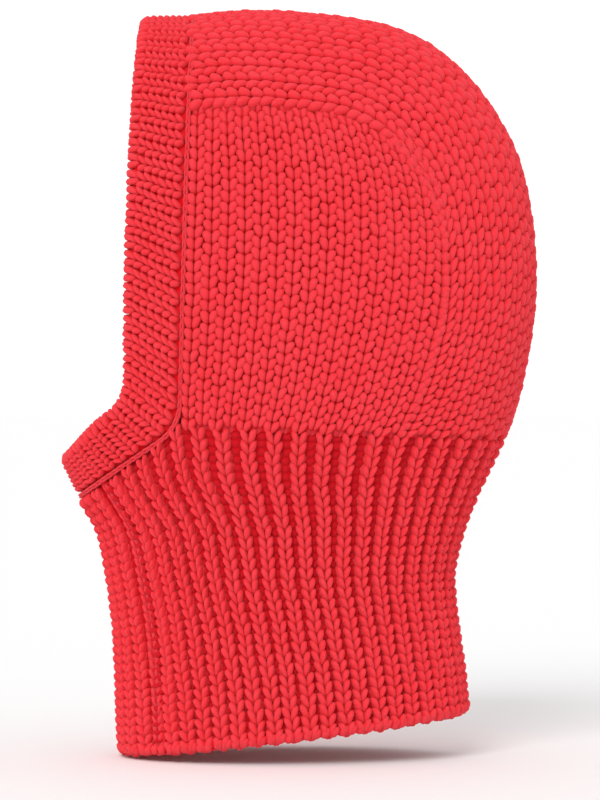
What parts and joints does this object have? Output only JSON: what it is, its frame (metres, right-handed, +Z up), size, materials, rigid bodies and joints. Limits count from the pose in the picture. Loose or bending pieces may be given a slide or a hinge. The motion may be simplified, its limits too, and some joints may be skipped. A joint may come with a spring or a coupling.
{
  "type": "balaclava",
  "caption": "Chunky hand-knit hood that covers the head and neck, with an oval face opening edged by a folded ribbed band and a long ribbed neck.",
  "frame": {"origin": "centre of the head inside the hood, on the plane of symmetry, 131 mm below the top of the hood and 275 mm above the front of the hem", "axes": "+Z up, -Y is the way the face looks, +X is the wearer's left"},
  "size_m": [0.152, 0.2581, 0.4058],
  "materials": {
    "honeycomb_knit": "plump soft-spun yarn knitted in a honeycomb of staggered V stitches, matt with a faint sheen",
    "band_rib_knit": "the same yarn in a tight one by one rib, folded double",
    "neck_rib_knit": "the same yarn in a deep one by one rib",
    "seam_yarn": "the same yarn, sewn or chained along the joins"
  },
  "bodies": {
    "root": {"hood_side_left": "honeycomb_knit", "hood_side_right": "honeycomb_knit", "crown_strip": "honeycomb_knit", "face_band": "band_rib_knit", "neck_rib": "neck_rib_knit", "band_linking_chain": "seam_yarn", "crown_seam_left": "seam_yarn", "crown_seam_right": "seam_yarn", "neck_front_seam": "seam_yarn", "hem_cast_on_edge": "neck_rib_knit"}
  },
  "joints": []
}
